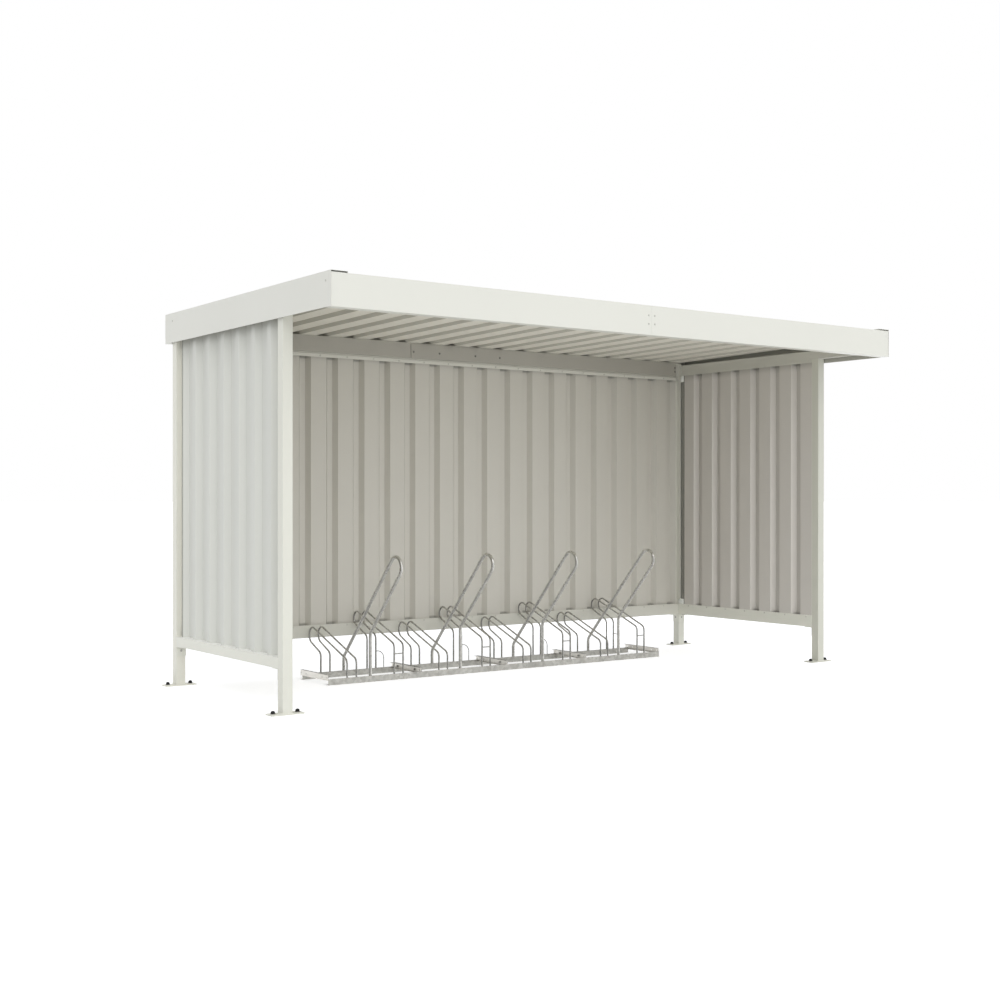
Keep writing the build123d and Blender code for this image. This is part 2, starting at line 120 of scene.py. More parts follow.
class Surface(Tree):
    """The node tree of a new material, round its Principled shader."""

    def __init__(self, name):
        self.material = bpy.data.materials.new(name)
        self.material.use_nodes = True
        super().__init__(self.material.node_tree)
        self.shader = self.tree.nodes["Principled BSDF"]
        self.place = self.add("ShaderNodeTexCoord").outputs["Object"]

    def stretched(self, x, y, z):
        node = self.fill(self.add("ShaderNodeMapping"), Vector=self.place, Scale=(x, y, z))
        return node.outputs["Vector"]

    def noise(self, scale, detail=2.0, place=None, distortion=0.0):
        node = self.add("ShaderNodeTexNoise")
        self.fill(node, Vector=place or self.place, Scale=scale, Detail=detail, Distortion=distortion)
        return node.outputs["Fac"]

    def crystals(self, scale):
        """Two random levels for each crystal of a cell pattern."""
        cells = self.fill(self.add("ShaderNodeTexVoronoi"), Vector=self.place, Scale=scale)
        levels = self.fill(self.add("ShaderNodeSeparateColor"), Color=cells.outputs["Color"])
        return levels.outputs["Red"], levels.outputs["Green"]

    def mix(self, share, first, second):
        """Mix of two colours: inputs 6 and 7 and output 2 are the node's colour sockets."""
        node = self.add("ShaderNodeMix", data_type="RGBA")
        self.link(share, node.inputs[0])
        self.link(first, node.inputs[6])
        self.link(second, node.inputs[7])
        return node.outputs[2]

    def height(self):
        node = self.fill(self.add("ShaderNodeSeparateXYZ"), Vector=self.place)
        return node.outputs["Z"]

    def face(self):
        return self.add("ShaderNodeNewGeometry").outputs["True Normal"]

    def rounded(self, radius):
        return self.fill(self.add("ShaderNodeBevel", samples=4), Radius=radius).outputs["Normal"]

    def edge(self, normal):
        """1 along the edges, where the rounded normal leaves the face's own."""
        return self.ramp(self.along(normal, self.face()), 0.985, 0.8)

    def bump(self, value, strength, distance, normal):
        node = self.add("ShaderNodeBump")
        self.fill(node, Height=value, Strength=strength, Distance=distance, Normal=normal)
        return node.outputs["Normal"]

    def finish(self, tone, roughness, normal, **plain):
        self.fill(self.shader, Base_Color=tone, Roughness=roughness, Normal=normal, **plain)
        return self.material


def shade(red, green, blue, share=1.0):
    """A colour written as 0 to 255 display values, as linear light."""
    linear = []
    for level in (red, green, blue):
        level = level / 255
        linear.append((level / 12.92 if level <= 0.04045 else ((level + 0.055) / 1.055) ** 2.4) * share)
    return (*linear, 1.0)


# Colours of dirt and wear, and of painted shade
# Painted shade at the ribs' ends and in the lines beside the back posts
painted_shade = shade(96, 94, 88)
deep_shadow = shade(58, 56, 51)
eave_shadow = shade(128, 126, 118)
rain_mark = shade(178, 177, 168)
road_dust = shade(182, 177, 163)
worn_coat = shade(240, 240, 235)
zinc_dust = shade(150, 145, 134)
# Painted shade for the rack's up-facing flats next to the ground
painted_flat_shade = shade(80, 78, 74)
worn_zinc = shade(236, 237, 238)
worn_plastic = shade(90, 90, 88)


def clouded(n, cloud, colour):
    return n.mix(cloud, shade(*colour, share=0.99), shade(*colour, share=1.01))


def inner_side(n, tone, inner, inward, groove, ends, corner):
    """The inner coat of a trapezoid sheet. Groove gives the way out of the sheet, the pans' place
    that way, and the shares of painted light and shade on the ribs' flanks and crowns. Painted
    shade darkens the ribs' ends, given as two heights, and painted deep shadow lies beyond the
    depth called corner."""
    across, pan, flank, crown = groove
    deep = n.ramp(n.along(n.place, across), pan + 0.004, pan + 0.033)
    tone = n.mix(deep, tone, shade(*inner, share=crown))
    slope = n.ramp(n.along(n.face(), inward), 0.9, 0.7)
    tone = n.mix(slope, tone, shade(*inner, share=flank))
    # Painted shade at the ribs' ends
    if ends:
        low, high = ends
        at_foot = n.ramp(n.height(), low + 0.018, low + 0.001)
        at_head = n.ramp(n.height(), high - 0.016, high - 0.001)
        at_end = n.times(deep, n.combine("MAXIMUM", at_foot, at_head))
        tone = n.mix(n.times(at_end, 0.5), tone, painted_shade)
    # Painted deep shadow in the corner by the back post
    if corner:
        beyond = n.ramp(n.along(n.place, back), corner - 0.004, corner)
        tone = n.mix(n.times(beyond, 0.95), tone, deep_shadow)
    return tone


def coated(name, colour, peel=420.0, radius=0.0016, gloss=0.42, inner=None, inward=None,
           groove=None, ends=None, corner=None, seam=None, pocket=None, eave=None):
    """Coated steel: faint clouds, orange peel, rain marks, dust near the ground and worn edges.
    Faces that look inward have the other coat, called inner: on the sheets their back coat, partly
    painted light and shade, and elsewhere painted light on the rails' tops and painted shade on
    the fascias; groove, ends and corner say how it varies on a trapezoid sheet. A line of painted
    shade follows the depth called seam, the inside of a channel further out than pocket has
    painted shade, and painted shade darkens the wall under the eave."""
    n = Surface(name)
    cloud = n.ramp(n.noise(0.9), 0.25, 0.75)
    tone = clouded(n, cloud, colour)
    if inner:
        other = clouded(n, cloud, inner)
        if groove:
            other = inner_side(n, other, inner, inward, groove, ends, corner)
        tone = n.mix(n.ramp(n.along(n.face(), inward), 0.02, 0.12), tone, other)
    # A line of painted shade beside the back posts
    if seam:
        beyond = n.ramp(n.along(n.place, back), seam, seam + 0.004)
        tone = n.mix(n.times(beyond, 0.7), tone, painted_shade)
    # Painted shade inside the channel
    if pocket:
        outward_reach = n.times(n.along(n.face(), right), n.along(n.place, right))
        inside = n.ramp(outward_reach, -pocket, -pocket - 0.008)
        tone = n.mix(n.times(inside, 0.32), tone, deep_shadow)
    # Painted shade on the wall under the eave
    if eave:
        near_eave = n.ramp(n.height(), eave - 0.085, eave)
        tone = n.mix(n.times(near_eave, 0.55), tone, eave_shadow)
    rain = n.ramp(n.noise(4.0, place=n.stretched(1.0, 1.0, 0.05)), 0.55, 0.85)
    tone = n.mix(n.times(rain, 0.03), tone, rain_mark)
    dust = n.times(n.ramp(n.height(), 0.30, 0.0), n.ramp(n.noise(14.0, detail=5.0), 0.42, 0.75))
    tone = n.mix(n.times(dust, 0.12), tone, road_dust)
    normal = n.rounded(radius)
    wear = n.times(n.edge(normal), n.ramp(n.noise(38.0, detail=4.0), 0.5, 0.7))
    tone = n.mix(n.times(wear, 0.35), tone, worn_coat)
    rough = n.ramp(n.noise(5.5, detail=4.0), 0.3, 0.7, low=gloss - 0.03, high=gloss + 0.04)
    rough = n.combine("ADD", rough, n.times(dust, 0.2))
    wave = n.bump(n.noise(2.4, detail=1.0), strength=0.06, distance=0.004, normal=normal)
    grain = n.bump(n.noise(peel), strength=0.12, distance=0.0004, normal=wave)
    return n.finish(tone, rough, grain, Coat_Weight=0.1, Coat_Roughness=0.3)


def zinc(name, radius, crystal_scale, dullness, dark, light, lit_and_shaded_sides=()):
    """Hot-dip galvanised steel: crystal flowers in differing greys, dull patches, small runs.
    Each entry given for the turned faces is (direction, start, end, share, colour): faces turned
    that way take the colour as painted light and shade, more so from the cosine start to the
    cosine end. Painted shade lies on the up-facing flats next to the ground."""
    n = Surface(name)
    brightness, polish = n.crystals(crystal_scale)
    tone = n.mix(brightness, shade(dark, dark - 1, dark - 6), shade(light, light - 1, light - 6))
    patch = n.ramp(n.noise(7.0, detail=5.0, distortion=0.6), 0.42, 0.68)
    tone = n.mix(n.times(patch, 0.25), tone, shade(dark - 14, dark - 15, dark - 20))
    # Painted light and shade by the way each face is turned
    for direction, start, end, share, colour in lit_and_shaded_sides:
        toward = n.ramp(n.along(n.face(), Vector(direction).normalized()), start, end)
        tone = n.mix(n.times(toward, share), tone, shade(*colour))
    dust = n.times(n.ramp(n.height(), 0.07, 0.0), n.ramp(n.noise(30.0, detail=4.0), 0.4, 0.7))
    tone = n.mix(n.times(dust, 0.25), tone, zinc_dust)
    # Painted shade on the up-facing flats next to the ground
    low_flat_shade = n.times(n.ramp(n.height(), 0.012, 0.006), n.ramp(n.along(n.face(), up), 0.7, 0.9))
    tone = n.mix(n.times(low_flat_shade, 0.8), tone, painted_flat_shade)
    normal = n.rounded(radius)
    wear = n.times(n.edge(normal), n.ramp(n.noise(60.0, detail=3.0), 0.45, 0.65))
    tone = n.mix(n.times(wear, 0.2), tone, worn_zinc)
    rough = n.ramp(polish, 0.0, 1.0, low=dullness - 0.07, high=dullness + 0.07)
    rough = n.combine("ADD", rough, n.times(patch, 0.14))
    drips = n.noise(16.0, detail=3.0, place=n.stretched(1.0, 1.0, 0.3))
    runs = n.bump(drips, strength=0.35, distance=0.0012, normal=normal)
    grain = n.bump(n.noise(420.0), strength=0.12, distance=0.0003, normal=runs)
    return n.finish(tone, rough, grain, Metallic=0.9)


def moulded(name, colour):
    """Black moulded plastic with a fine grain and pale scuffs on its edges."""
    n = Surface(name)
    normal = n.rounded(0.0012)
    scuff = n.times(n.edge(normal), n.ramp(n.noise(120.0, detail=4.0), 0.45, 0.7))
    cloud = n.ramp(n.noise(60.0, detail=3.0), 0.35, 0.7)
    tone = n.mix(cloud, shade(*colour, share=0.8), shade(*colour, share=1.3))
    tone = n.mix(n.times(scuff, 0.3), tone, worn_plastic)
    rough = n.ramp(n.noise(90.0, detail=3.0), 0.3, 0.7, low=0.48, high=0.62)
    grain = n.bump(n.noise(900.0), strength=0.15, distance=0.0002, normal=normal)
    return n.finish(tone, rough, grain, Specular_IOR_Level=0.25)


# Paints of the frame, the roof edge, the trims and the fasteners, with lighter and darker copies of the
# frame's paint as painted light and shade
fold = {"peel": 520.0, "radius": 0.0012, "gloss": 0.40}
trim = {"peel": 520.0, "radius": 0.0010, "gloss": 0.42}
fastener = {"peel": 700.0, "radius": 0.0004}
frame_colour = (229, 229, 219)
side_colour = (231, 231, 224)
trim_colour = (228, 227, 218)
# Painted light on the tops of the rails
painted_lit_top = {"inner": (252, 252, 248), "inward": up}

frame_paint = coated("frame_paint", frame_colour)
# The rails lighter and the back rail darker than the frame, as painted light and shade
rail_paint = coated("rail_paint", (234, 234, 224), **painted_lit_top)
back_rail_paint = coated("back_rail_paint", (222, 221, 211), **painted_lit_top)
# A back post lighter and a front post darker, as painted light and shade
lit_post_paint = coated("lit_post_paint", (235, 234, 223))
shaded_post_paint = coated("shaded_post_paint", (212, 212, 201))
# The back beam, the splice plate, the parts on the right, the cleats and the wall rivets darker, as
# painted shade
shaded_beam_paint = coated("shaded_beam_paint", (183, 180, 171), gloss=0.44)
shaded_paint = coated("shaded_paint", (206, 205, 196), gloss=0.44)
edge_paint = coated("edge_paint", (229, 229, 221), **fold)
# Painted shade on the left fascia's inner faces and undersides, and lighter painted shade on the right
# fascia's inner faces
side_paint = coated("side_paint", side_colour, **fold, inner=(112, 111, 105), inward=(1, 0, -1))
far_side_paint = coated("far_side_paint", side_colour, **fold, inner=(188, 187, 178), inward=left)
trim_paint = coated("trim_paint", trim_colour, **trim)
# Painted shade inside the edge channels
channel_paint = coated("channel_paint", trim_colour, **trim, pocket=2.122)
rivet_paint = coated("rivet_paint", (198, 198, 190), **fastener, gloss=0.38)
screw_paint = coated("screw_paint", (124, 123, 117), **fastener, gloss=0.38)
weld_paint = coated("weld_paint", frame_colour, **fastener, gloss=0.44)

# Zinc of the rack and its fasteners, and the anchors' plastic caps
# Directions of the painted shade on the rack's bars
toward_front_left = (-0.68, -0.68, -0.20)
downward = (0.30, 0.0, -0.95)
bar = {"radius": 0.0006, "crystal_scale": 70.0, "dullness": 0.26}
angle_bar = {"radius": 0.0012, "crystal_scale": 52.0, "dullness": 0.42}
screw = {"radius": 0.0004, "crystal_scale": 240.0, "dullness": 0.34}

bar_zinc = zinc("bar_zinc", **bar, dark=200, light=230, lit_and_shaded_sides=(
    # Painted shade on the bars' sides toward the front left and below
    (toward_front_left, 0.62, 0.97, 0.62, (84, 83, 79)),
    (downward, 0.30, 0.90, 0.62, (84, 83, 79)),
))
holder_zinc = zinc("holder_zinc", **bar, dark=174, light=212, lit_and_shaded_sides=(
    # Painted shade on the holders' sides toward the front left and below
    (toward_front_left, 0.55, 0.94, 0.72, (62, 61, 58)),
    (downward, 0.30, 0.90, 0.70, (66, 65, 62)),
))
angle_zinc = zinc("angle_zinc", **angle_bar, dark=172, light=198, lit_and_shaded_sides=(
    # Painted light on the angles' left faces and painted shade on their tops
    (left, 0.60, 0.90, 0.75, (246, 243, 237)),
    (up, 0.60, 0.90, 0.70, (128, 126, 121)),
))
screw_zinc = zinc("screw_zinc", **screw, dark=170, light=205)
cap_plastic = moulded("cap_plastic", (15, 15, 16))


def sheet_coat(start, **looks):
    """Coat of the trapezoid sheets whose names begin with start."""
    return coated(start + "_paint", (219, 220, 214), peel=620.0, radius=0.0007, gloss=0.46, **looks)


def wall_coat(side, **looks):
    """Coat of the sheets of one wall, whose ribs end at its rail and at its top trim, with painted shade
    at the ribs' ends and under the eave.
    """
    ends = (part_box("bottom_rail_" + side)[1].z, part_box("top_trim_" + side)[0].z)
    return sheet_coat("wall_sheet_" + side, ends=ends, eave=2.20, **looks)


# Inner coats of the trapezoid sheets and their grooves: the right wall's coat darker and the roof's
# lighter, as painted shade and light, with painted light and shade on the ribs' flanks and crowns
inner_coat = (218, 215, 206)
shaded_coat = (212, 208, 202)
lit_roof_coat = (244, 241, 229)
side_wall_pan, back_wall_pan, roof_pan = 2.115, 0.974, 2.2964
# Shares of painted light and shade on the ribs' flanks and crowns
left_groove = (left, side_wall_pan, 0.93, 0.97)
right_groove = (right, side_wall_pan, 1.10, 0.88)
back_groove = (back, back_wall_pan, 0.93, 1.00)
roof_groove = ((0, roof_fall, 1), roof_pan, 0.70, 0.80)
# Painted deep shadow and a line of painted shade beside the back posts
at_post = {"corner": 0.885, "seam": 0.910}

# Finish of each node by the start of its name, a later one over an earlier one
finishes = {
    "fascia_front": edge_paint,
    "fascia_back": edge_paint,
    "fascia_left": side_paint,
    "fascia_right": far_side_paint,
    "seam_plates": edge_paint,
    "top_trim": trim_paint,
    "top_trim_right": shaded_paint,
    "edge_channels": channel_paint,
    "post": frame_paint,
    "post_front_right": shaded_post_paint,
    "post_back_left": lit_post_paint,
    "side_beam": frame_paint,
    "side_beam_right": shaded_paint,
    "roof_ledge": frame_paint,
    "back_beam": shaded_beam_paint,
    "splice_plate": shaded_beam_paint,
    "beam_cleats": shaded_paint,
    "bottom_rail": rail_paint,
    "bottom_rail_back": back_rail_paint,
    "rail_brackets": rail_paint,
    "rack_frame": angle_zinc,
    "leaning_loops": bar_zinc,
    "low_holders": holder_zinc,
    "high_holders": holder_zinc,
    "wall_sheet_left": wall_coat("left", inner=inner_coat, inward=right, groove=left_groove, **at_post),
    "wall_sheet_right": wall_coat("right", inner=shaded_coat, inward=left, groove=right_groove, **at_post),
    "wall_sheet_back": wall_coat("back", inner=inner_coat, inward=front, groove=back_groove),
    "roof_sheet": sheet_coat("roof_sheet", inner=lit_roof_coat, inward=down, groove=roof_groove),
}
for start, material in finishes.items():
    for name, node in nodes.items():
        if name.startswith(start):
            node.data.materials.clear()
            node.data.materials.append(material)


def turned(profile, steps):
    """Mesh of a profile (radius, height) turned round Z, closed where the radius is nought."""
    bm = bmesh.new()
    rings = []
    for radius, height in profile:
        if radius == 0:
            rings.append([bm.verts.new((0, 0, height))])
            continue
        ring = []
        for k in range(steps):
            angle = 2 * math.pi * (k + 0.5) / steps
            ring.append(bm.verts.new((radius * math.cos(angle), radius * math.sin(angle), height)))
        rings.append(ring)
    for low, high in zip(rings, rings[1:]):
        for k in range(steps):
            lower = [low[k % len(low)], low[(k + 1) % len(low)]]
            upper = [high[(k + 1) % len(high)], high[k % len(high)]]
            corners = list(dict.fromkeys(lower + upper))
            if len(corners) > 2:
                bm.faces.new(corners)
    return bm


def joined(*meshes):
    """The first mesh with the others added."""
    whole = meshes[0]
    for bm in meshes[1:]:
        part = bpy.data.meshes.new("part")
        bm.to_mesh(part)
        bm.free()
        whole.from_mesh(part)
        bpy.data.meshes.remove(part)
    return whole


def piece(name, bm, material):
    bmesh.ops.recalc_face_normals(bm, faces=bm.faces)
    mesh = bpy.data.meshes.new(name)
    bm.to_mesh(mesh)
    bm.free()
    mesh.shade_smooth()
    mesh.set_sharp_from_angle(angle=math.radians(38))
    mesh.materials.append(material)
    made = bpy.data.objects.new(name, mesh)
    bpy.context.scene.collection.objects.link(made)
    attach(made, "root")


def scattered(name, make, places, material):
    """One piece of many like copies, each at (point, outward direction), turned at random."""
    copies = []
    for point, outward in places:
        bm = make()
        aim = Vector(outward).to_track_quat("Z", "Y").to_matrix().to_4x4()
        turn = random.uniform(0, 6)
        bm.transform(Matrix.Translation(point) @ aim @ Matrix.Rotation(turn, 4, "Z"))
        copies.append(bm)
    piece(name, joined(*copies), material)


def bead(path, out, radius, pitch, steps):
    """Weld bead: a rippled string round a closed path on a plane, pushed out from its middle."""
    ripple, unevenness = 0.10, 0.05
    middle = sum(path, Vector()) / len(path)
    bm = bmesh.new()
    rings = []
    run = 0.0
    for k, point in enumerate(path):
        after, before = path[(k + 1) % len(path)], path[k - 1]
        run += (point - before).length
        ahead = (after - before).normalized()
        side = ahead.cross(out).normalized()
        if side.dot(point - middle) < 0:
            side.negate()
        wave = ripple * math.sin(2 * math.pi * run / pitch)
        size = radius * (1 + wave + random.uniform(-unevenness, unevenness))
        ring = []
        for j in range(steps):
            angle = 2 * math.pi * j / steps
            ring.append(bm.verts.new(point + size * (math.cos(angle) * side + math.sin(angle) * out)))
        rings.append(ring)
    for k in range(len(rings)):
        first, second = rings[k - 1], rings[k]
        for j in range(steps):
            bm.faces.new((first[j - 1], first[j], second[j], second[j - 1]))
    return bm


def round_bead(centre, axis, bar_radius, points, radius, pitch):
    """Weld bead round the end of a round bar, on a plane square to axis."""
    aim = Vector(axis).to_track_quat("Z", "Y")
    path = []
    for k in range(points):
        angle = 2 * math.pi * k / points
        path.append(centre + aim @ Vector((bar_radius * math.cos(angle), bar_radius * math.sin(angle), 0)))
    return bead(path, Vector(axis), radius, pitch, 6)


def square_bead(centre, half, corner, step, radius, pitch):
    """Weld bead round the foot of a square tube with rounded corners."""
    path = []
    straight = 2 * (half - corner)
    for quarter in range(4):
        turn = Matrix.Rotation(quarter * math.pi / 2, 3, "Z")
        for k in range(int(straight / step)):
            path.append(centre + turn @ Vector((half, -half + corner + k * step, 0)))
        for k in range(4):
            angle = math.pi / 2 * k / 4
            across = half - corner + corner * math.cos(angle)
            along = half - corner + corner * math.sin(angle)
            path.append(centre + turn @ Vector((across, along, 0)))
    return bead(path, Vector(up), radius, pitch, 8)


def lap(sheet, outward):
    """Strip behind the right-hand edge of a sheet, on the side away from outward, where one
    sheet's edge lies in its neighbour's rib."""
    half_width, thickness, gap, inset, tolerance = 0.016, 0.0007, 0.0002, 0.003, 0.0005
    mesh = nodes[sheet].data
    edge = max(vert.co.x for vert in mesh.vertices)
    rim = [vert.co.copy() for vert in mesh.vertices if vert.co.x > edge - tolerance]
    outward = Vector(outward)
    run = Vector((0, 0, 1)) if outward.y else Vector((0, 1, 0))
    rim.sort(key=lambda point: point.dot(run))
    bm = bmesh.new()
    rings = []
    for pair, shift in ((rim[:2], inset), (rim[-2:], -inset)):
        inner = min(pair, key=lambda point: point.dot(outward)) + run * shift
        ring = []
        for side, depth in ((-1, gap), (1, gap), (1, gap + thickness), (-1, gap + thickness)):
            ring.append(bm.verts.new(inner + Vector((side * half_width, 0, 0)) - outward * depth))
        rings.append(ring)
    for k in range(4):
        bm.faces.new((rings[0][k - 1], rings[0][k], rings[1][k], rings[1][k - 1]))
    bm.faces.new(rings[0])
    bm.faces.new(rings[1])
    return bm


# Fasteners, as profiles (radius, height) in metres
def anchor_cap():
    """Domed cap on a collar that covers an anchor's nut."""
    radius, dome_base, dome_height, dome_steps = 0.0120, 0.0072, 0.0094, 6
    profile = [(0.0, 0.0), (0.0134, 0.0), (0.0134, 0.0018), (0.0128, 0.0026), (0.0121, 0.0032)]
    profile.append((radius, 0.0068))
    for k in range(dome_steps):
        angle = math.pi / 2 * k / dome_steps
        profile.append((radius * math.cos(angle), dome_base + dome_height * math.sin(angle)))
    profile.append((0, dome_base + dome_height))
    return turned(profile, 28)


def anchor_washer():
    rim = [(0.0, 0.0), (0.0143, 0.0), (0.0148, 0.0005), (0.0148, 0.0016), (0.0143, 0.0021), (0.0, 0.0021)]
    return turned(rim, 32)


def rivet():
    """Low dome of a blind rivet with the dimple of its mandrel."""
    flange = [(0.0, 0.0), (0.0062, 0.0), (0.0064, 0.0006), (0.0056, 0.0016), (0.0036, 0.0023)]
    dimple = [(0.0020, 0.0024), (0.0017, 0.0018), (0.0, 0.0016)]
    return turned(flange + dimple, 20)


def hexagon(across, low, high):
    """Hexagon block, across wide over its flats, with a chamfered top."""
    chamfer, crown_share = 0.0012, 0.88
    reach = across / math.sqrt(3)
    crown = [(0.0, low), (reach, low), (reach, high - chamfer), (reach * crown_share, high), (0.0, high)]
    return turned(crown, 6)


def hex_screw():
    """Flanged hexagon head of a self-drilling screw."""
    flange = [(0.0, 0.0), (0.0078, 0.0), (0.0080, 0.0006), (0.0074, 0.0014), (0.0, 0.0014)]
    return joined(turned(flange, 24), hexagon(0.008, 0.0014, 0.0056))


def sealed_screw():
    """Roof screw: a hexagon head on a domed washer with a seal under it."""
    seal = [(0.0, 0.0), (0.0082, 0.0), (0.0085, 0.0010), (0.0, 0.0012)]
    plate = [(0.0, 0.0012), (0.0090, 0.0012), (0.0092, 0.0019), (0.0060, 0.0029), (0.0, 0.0032)]
    return joined(turned(seal, 24), turned(plate, 24), hexagon(0.008, 0.0032, 0.0074))


def bolt_washer():
    rim = [(0.0, 0.0), (0.0078, 0.0), (0.0080, 0.0003), (0.0080, 0.0013), (0.0078, 0.0016), (0.0, 0.0016)]
    return turned(rim, 28)


def bolt_head():
    return joined(bolt_washer(), hexagon(0.013, 0.0016, 0.0069))


def nut():
    """Nut on a washer, with the threaded end of its bolt."""
    thread = [(0.0, 0.0080)]
    for k in range(4):
        thread += [(0.0036, 0.0080 + 0.00125 * k), (0.0040, 0.0086 + 0.00125 * k)]
    thread += [(0.0034, 0.0132), (0.0, 0.0132)]
    return joined(bolt_washer(), hexagon(0.013, 0.0016, 0.0081), turned(thread, 20))


# Anchors of the base plates, each a capped nut on a washer, and the posts' welds
plate_top = 0.008
anchor_reach = 0.075
washer_top = 0.0021
post_weld = {"half": 0.0305, "corner": 0.002, "step": 0.0012, "radius": 0.0032, "pitch": 0.0024}
anchors = []
foot_beads = []
for name in ("post_front_left", "post_front_right", "post_back_left", "post_back_right"):
    low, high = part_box(name)
    centre = (low + high) / 2
    centre.z = plate_top
    for side in (-1, 1):
        anchors.append(centre + Vector((side * anchor_reach, 0, 0)))
    foot_beads.append(square_bead(centre, **post_weld))
caps = [(point + Vector((0, 0, washer_top)), up) for point in anchors]
scattered("anchor_washers", anchor_washer, [(point, up) for point in anchors], screw_zinc)
scattered("anchor_caps", anchor_cap, caps, cap_plastic)
piece("post_welds", joined(*foot_beads), weld_paint)

# Rivets at the seams and corners of the roof edge
seam_rivet_reach = 0.024
seam_rivet_heights = (2.237, 2.288)
corner_rivet_height = 2.308
front_corner_inset, back_corner_inset = 0.057, 0.117
front_face, back_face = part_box("fascia_front_left")[0].y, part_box("fascia_back_left")[1].y
edge_low, edge_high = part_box("fascia_left")
right_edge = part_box("fascia_right")[1].x
edge_rivets = []
for x in (-seam_rivet_reach, seam_rivet_reach):
    for z in seam_rivet_heights:
        edge_rivets.append((Vector((x, front_face, z)), front))
        edge_rivets.append((Vector((x, back_face, z)), back))
for x, outward in ((edge_low.x, left), (right_edge, right)):
    for y in (edge_low.y + front_corner_inset, edge_high.y - back_corner_inset):
        edge_rivets.append((Vector((x, y, corner_rivet_height)), outward))
scattered("roof_edge_rivets", rivet, edge_rivets, rivet_paint)

# Screws of the splice plate and of the beam beside the cleats
splice_screws = (-0.415, -0.197, 0.113, 0.331)
splice_screw_height = 2.218
cleat_screw_reach = 2.074
cleat_screw_heights = (2.209, 2.241)
splice_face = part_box("splice_plate")[0].y
beam_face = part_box("back_beam_left")[0].y
screws = [(Vector((x, splice_face, splice_screw_height)), front) for x in splice_screws]
for side in (-1, 1):
    for z in cleat_screw_heights:
        screws.append((Vector((side * cleat_screw_reach, beam_face, z)), front))
scattered("beam_screws", hex_screw, screws, screw_paint)

# Screws of the rail brackets on the back posts
bracket_screw_height = 0.223
bracket_thickness = 0.004
bracket_reach = 0.034
bracket_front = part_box("rail_brackets")[0].y
bracket_screws = []
for side in (-1, 1):
    low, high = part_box("post_back_right" if side > 0 else "post_back_left")
    x, y, z = (low.x + high.x) / 2, (low.y + high.y) / 2, bracket_screw_height
    bracket_screws.append((Vector((x, bracket_front + bracket_thickness, z)), back))
    bracket_screws.append((Vector((x, y - bracket_reach, z)), front))
    bracket_screws.append((Vector((x - side * bracket_reach, y, z)), (-side, 0, 0)))
scattered("bracket_screws", hex_screw, bracket_screws, screw_zinc)

# Blind rivets that hold the wall sheets to the strips of the rails and to the top trims
strip_rivet_height = 0.324
back_trim_rivet_height = 2.149
side_trim_rivet_height = 2.186
back_rib, back_reach = -0.015, 2.08
side_rib, side_end, strip_end = 0.935, 0.90, 0.03
strip_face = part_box("bottom_rail_back")[0].y
trim_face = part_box("top_trim_back")[0].y
sheet_rivets = []
for k in range(-10, 11):
    x = back_rib + rib_pitch * (k + 0.5)
    if abs(x) < back_reach:
        sheet_rivets.append((Vector((x, strip_face, strip_rivet_height)), front))
        sheet_rivets.append((Vector((x, trim_face, back_trim_rivet_height)), front))
for side, name in ((-1, "left"), (1, "right")):
    strip_box, trim_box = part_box("bottom_rail_" + name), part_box("top_trim_" + name)
    inner = 1 if side < 0 else 0
    for k in range(7):
        y = side_rib - rib_pitch * (k + 0.5)
        if strip_box[0].y + strip_end < y < side_end:
            sheet_rivets.append((Vector((strip_box[inner].x, y, strip_rivet_height)), (-side, 0, 0)))
            sheet_rivets.append((Vector((trim_box[inner].x, y, side_trim_rivet_height)), (-side, 0, 0)))
# The rivets take the darker copy of the paint, as painted shade
scattered("sheet_rivets", rivet, sheet_rivets, shaded_paint)

# Screws through the pans of the roof sheets into the back beam and the front angle
beam_screw_depth, angle_screw_depth = 0.980, -1.055
rear_depth, rear_pan_height = 1.010, 2.283
roof_screws = []
for k in range(-10, 11):
    for y in (beam_screw_depth, angle_screw_depth):
        z = rear_pan_height + (rear_depth - y) * roof_fall
        roof_screws.append((Vector((rib_pitch * k, y, z)), (0, -roof_fall, 1)))
scattered("roof_screws", sealed_screw, roof_screws, screw_zinc)

# Laps behind the joints of neighbouring sheets
wall_laps = [lap(f"wall_sheet_back_{k}", back) for k in (1, 2, 3)]
roof_laps = [lap(f"roof_sheet_{k}", up) for k in (1, 2, 3)]
piece("wall_laps", joined(*wall_laps), finishes["wall_sheet_back"])
piece("roof_laps", joined(*roof_laps), finishes["roof_sheet"])

# Bolts that join the rack's units, through the inner holes of their end bars
unit_joints = (-0.685, 0.015, 0.715)
inner_holes = (0.494, 0.712)
web = 0.003
end_bar_hole_height = 0.0465
heads, nuts = [], []
for joint in unit_joints:
    for y in inner_holes:
        heads.append((Vector((joint + web, y, end_bar_hole_height)), right))
        nuts.append((Vector((joint - web, y, end_bar_hole_height)), left))
scattered("rack_bolt_heads", bolt_head, heads, screw_zinc)
scattered("rack_bolt_nuts", nut, nuts, screw_zinc)

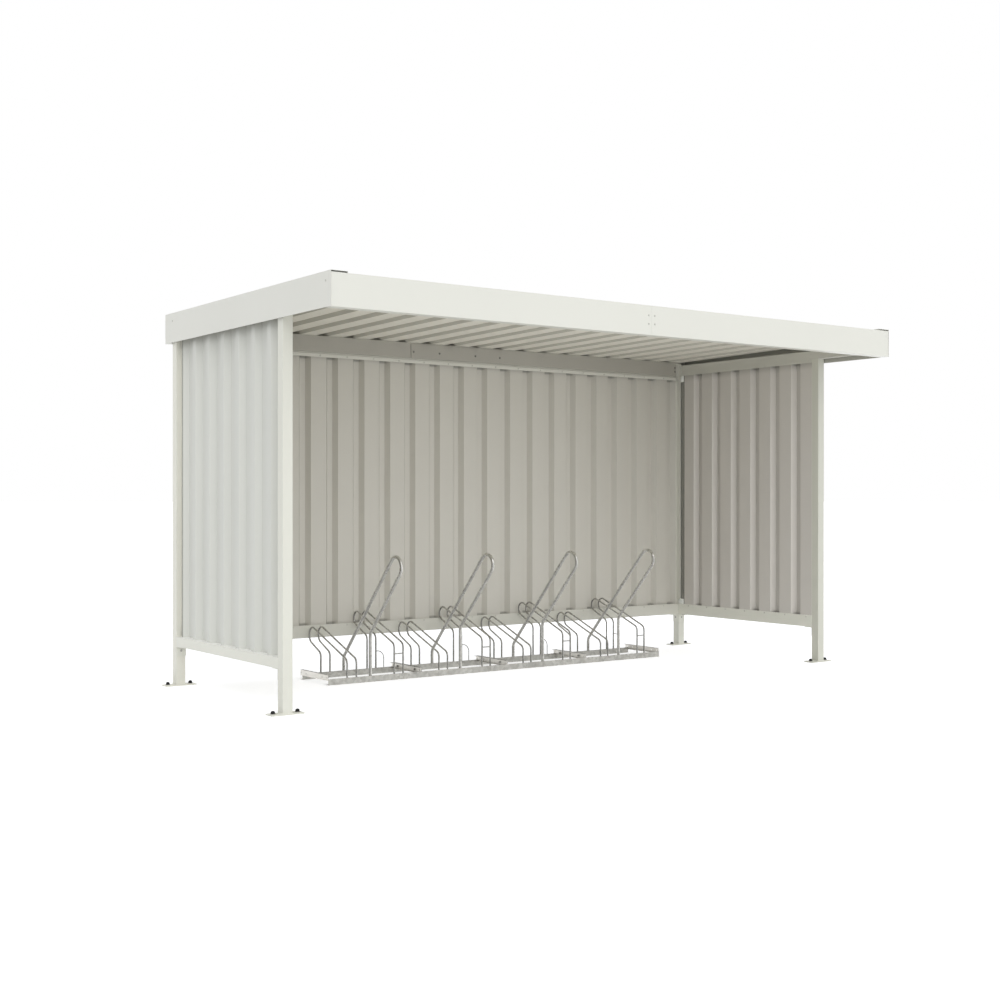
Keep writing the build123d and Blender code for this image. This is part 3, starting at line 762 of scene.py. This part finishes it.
# Welds at the feet of the rack's bars and loops, and where the cross bars meet them
rack_start, unit_length = -1.385, 0.7
low_holder, high_holder, half_gap = 0.175, 0.526, 0.034
loop_offset = 0.315
eye_reach = 0.062
cross_bar_height = 0.169
bar_front, bar_rear = 0.420, 0.772
loop_front, loop_rear = 0.425, 0.777
bar_flank = 0.0058
angle_top = 0.004
bar_weld = {"bar_radius": 0.0064, "points": 22, "radius": 0.0022, "pitch": 0.0021}
loop_weld = {"bar_radius": 0.0114, "points": 34, "radius": 0.0026, "pitch": 0.0022}
eye_weld = {"bar_radius": 0.0034, "points": 16, "radius": 0.0014, "pitch": 0.0018}
cross_weld = {"bar_radius": 0.0044, "points": 18, "radius": 0.0016, "pitch": 0.0018}
foot_height = angle_top + 0.0004
eye_foot_height = angle_top + 0.0002
rack_welds = []
for unit in range(4):
    start = rack_start + unit_length * unit
    for holder in (low_holder, high_holder):
        for offset in (holder - half_gap, holder + half_gap):
            for y in (bar_front, bar_rear):
                rack_welds.append(round_bead(Vector((start + offset, y, foot_height)), up, **bar_weld))
    for y in (loop_front, loop_rear):
        rack_welds.append(round_bead(Vector((start + loop_offset, y, foot_height)), up, **loop_weld))
    eye_foot = Vector((start + high_holder + half_gap + eye_reach, bar_rear, eye_foot_height))
    rack_welds.append(round_bead(eye_foot, up, **eye_weld))
    for side in (-1, 1):
        x = start + high_holder + side * (half_gap - bar_flank)
        end = Vector((x, bar_front, cross_bar_height))
        rack_welds.append(round_bead(end, (side, 0, 0), **cross_weld))
piece("rack_welds", joined(*rack_welds), screw_zinc)


# Light: a broad soft lamp in front and above, and a low one
def lamp(name, direction, strength, angle):
    light = bpy.data.lights.new(name, "SUN")
    light.energy = strength
    light.angle = math.radians(angle)
    made = bpy.data.objects.new(name, light)
    made.rotation_euler = Vector(direction).to_track_quat("Z", "Y").to_euler()
    bpy.context.scene.collection.objects.link(made)


lamp("front_lamp", (-0.18, -0.60, 0.85), strength=0.86, angle=65)
lamp("low_lamp", (-0.22, -0.94, 0.26), strength=0.28, angle=32)

# Pale sky, brighter overhead, seen as plain white
brightest = Vector((0.06, -0.45, 0.85)).normalized()
world = bpy.data.worlds.new("studio")
bpy.context.scene.world = world
world.use_nodes = True
world.node_tree.nodes.clear()
sky = Tree(world.node_tree)
rise = sky.along(sky.add("ShaderNodeTexCoord").outputs["Generated"], brightest)
strength = sky.ramp(rise, -1.0, 1.0, low=0.32, high=0.78, kind="LINEAR")
pale = sky.fill(sky.add("ShaderNodeBackground"), Color=(0.985, 0.992, 1.0, 1), Strength=strength)
white = sky.fill(sky.add("ShaderNodeBackground"), Color=(1, 1, 1, 1), Strength=1.0)
both = sky.shaders(sky.direct(), pale.outputs["Background"], white.outputs["Background"])
sky.link(both, sky.add("ShaderNodeOutputWorld").inputs["Surface"])

# Pale floor: it is seen white where the light falls freely, and keeps the soft shadow
reach = 400
floor_mesh = bpy.data.meshes.new("floor")
corners = [(-reach, -reach, 0), (reach, -reach, 0), (reach, reach, 0), (-reach, reach, 0)]
floor_mesh.from_pydata(corners, [], [(0, 1, 2, 3)])
floor = bpy.data.objects.new("floor", floor_mesh)
bpy.context.scene.collection.objects.link(floor)
ground = Surface("studio_floor")
patches = ground.ramp(ground.noise(1.5, detail=4.0), 0.35, 0.65)
tone = ground.mix(patches, (0.93, 0.93, 0.92, 1), (0.94, 0.94, 0.93, 1))
ground.fill(ground.shader, Base_Color=tone, Roughness=0.9, Specular_IOR_Level=0.1)
faint = ground.fill(ground.add("ShaderNodeBsdfDiffuse"), Color=(0.93, 0.94, 0.97, 1))
glow = ground.fill(ground.add("ShaderNodeEmission"), Color=(1, 1, 1, 1), Strength=0.52)
seen = ground.add("ShaderNodeAddShader")
ground.link(faint.outputs["BSDF"], seen.inputs[0])
ground.link(glow.outputs["Emission"], seen.inputs[1])
both = ground.shaders(ground.direct(), ground.shader.outputs["BSDF"], seen.outputs["Shader"])
ground.link(both, ground.tree.nodes["Material Output"].inputs["Surface"])
floor_mesh.materials.append(ground.material)
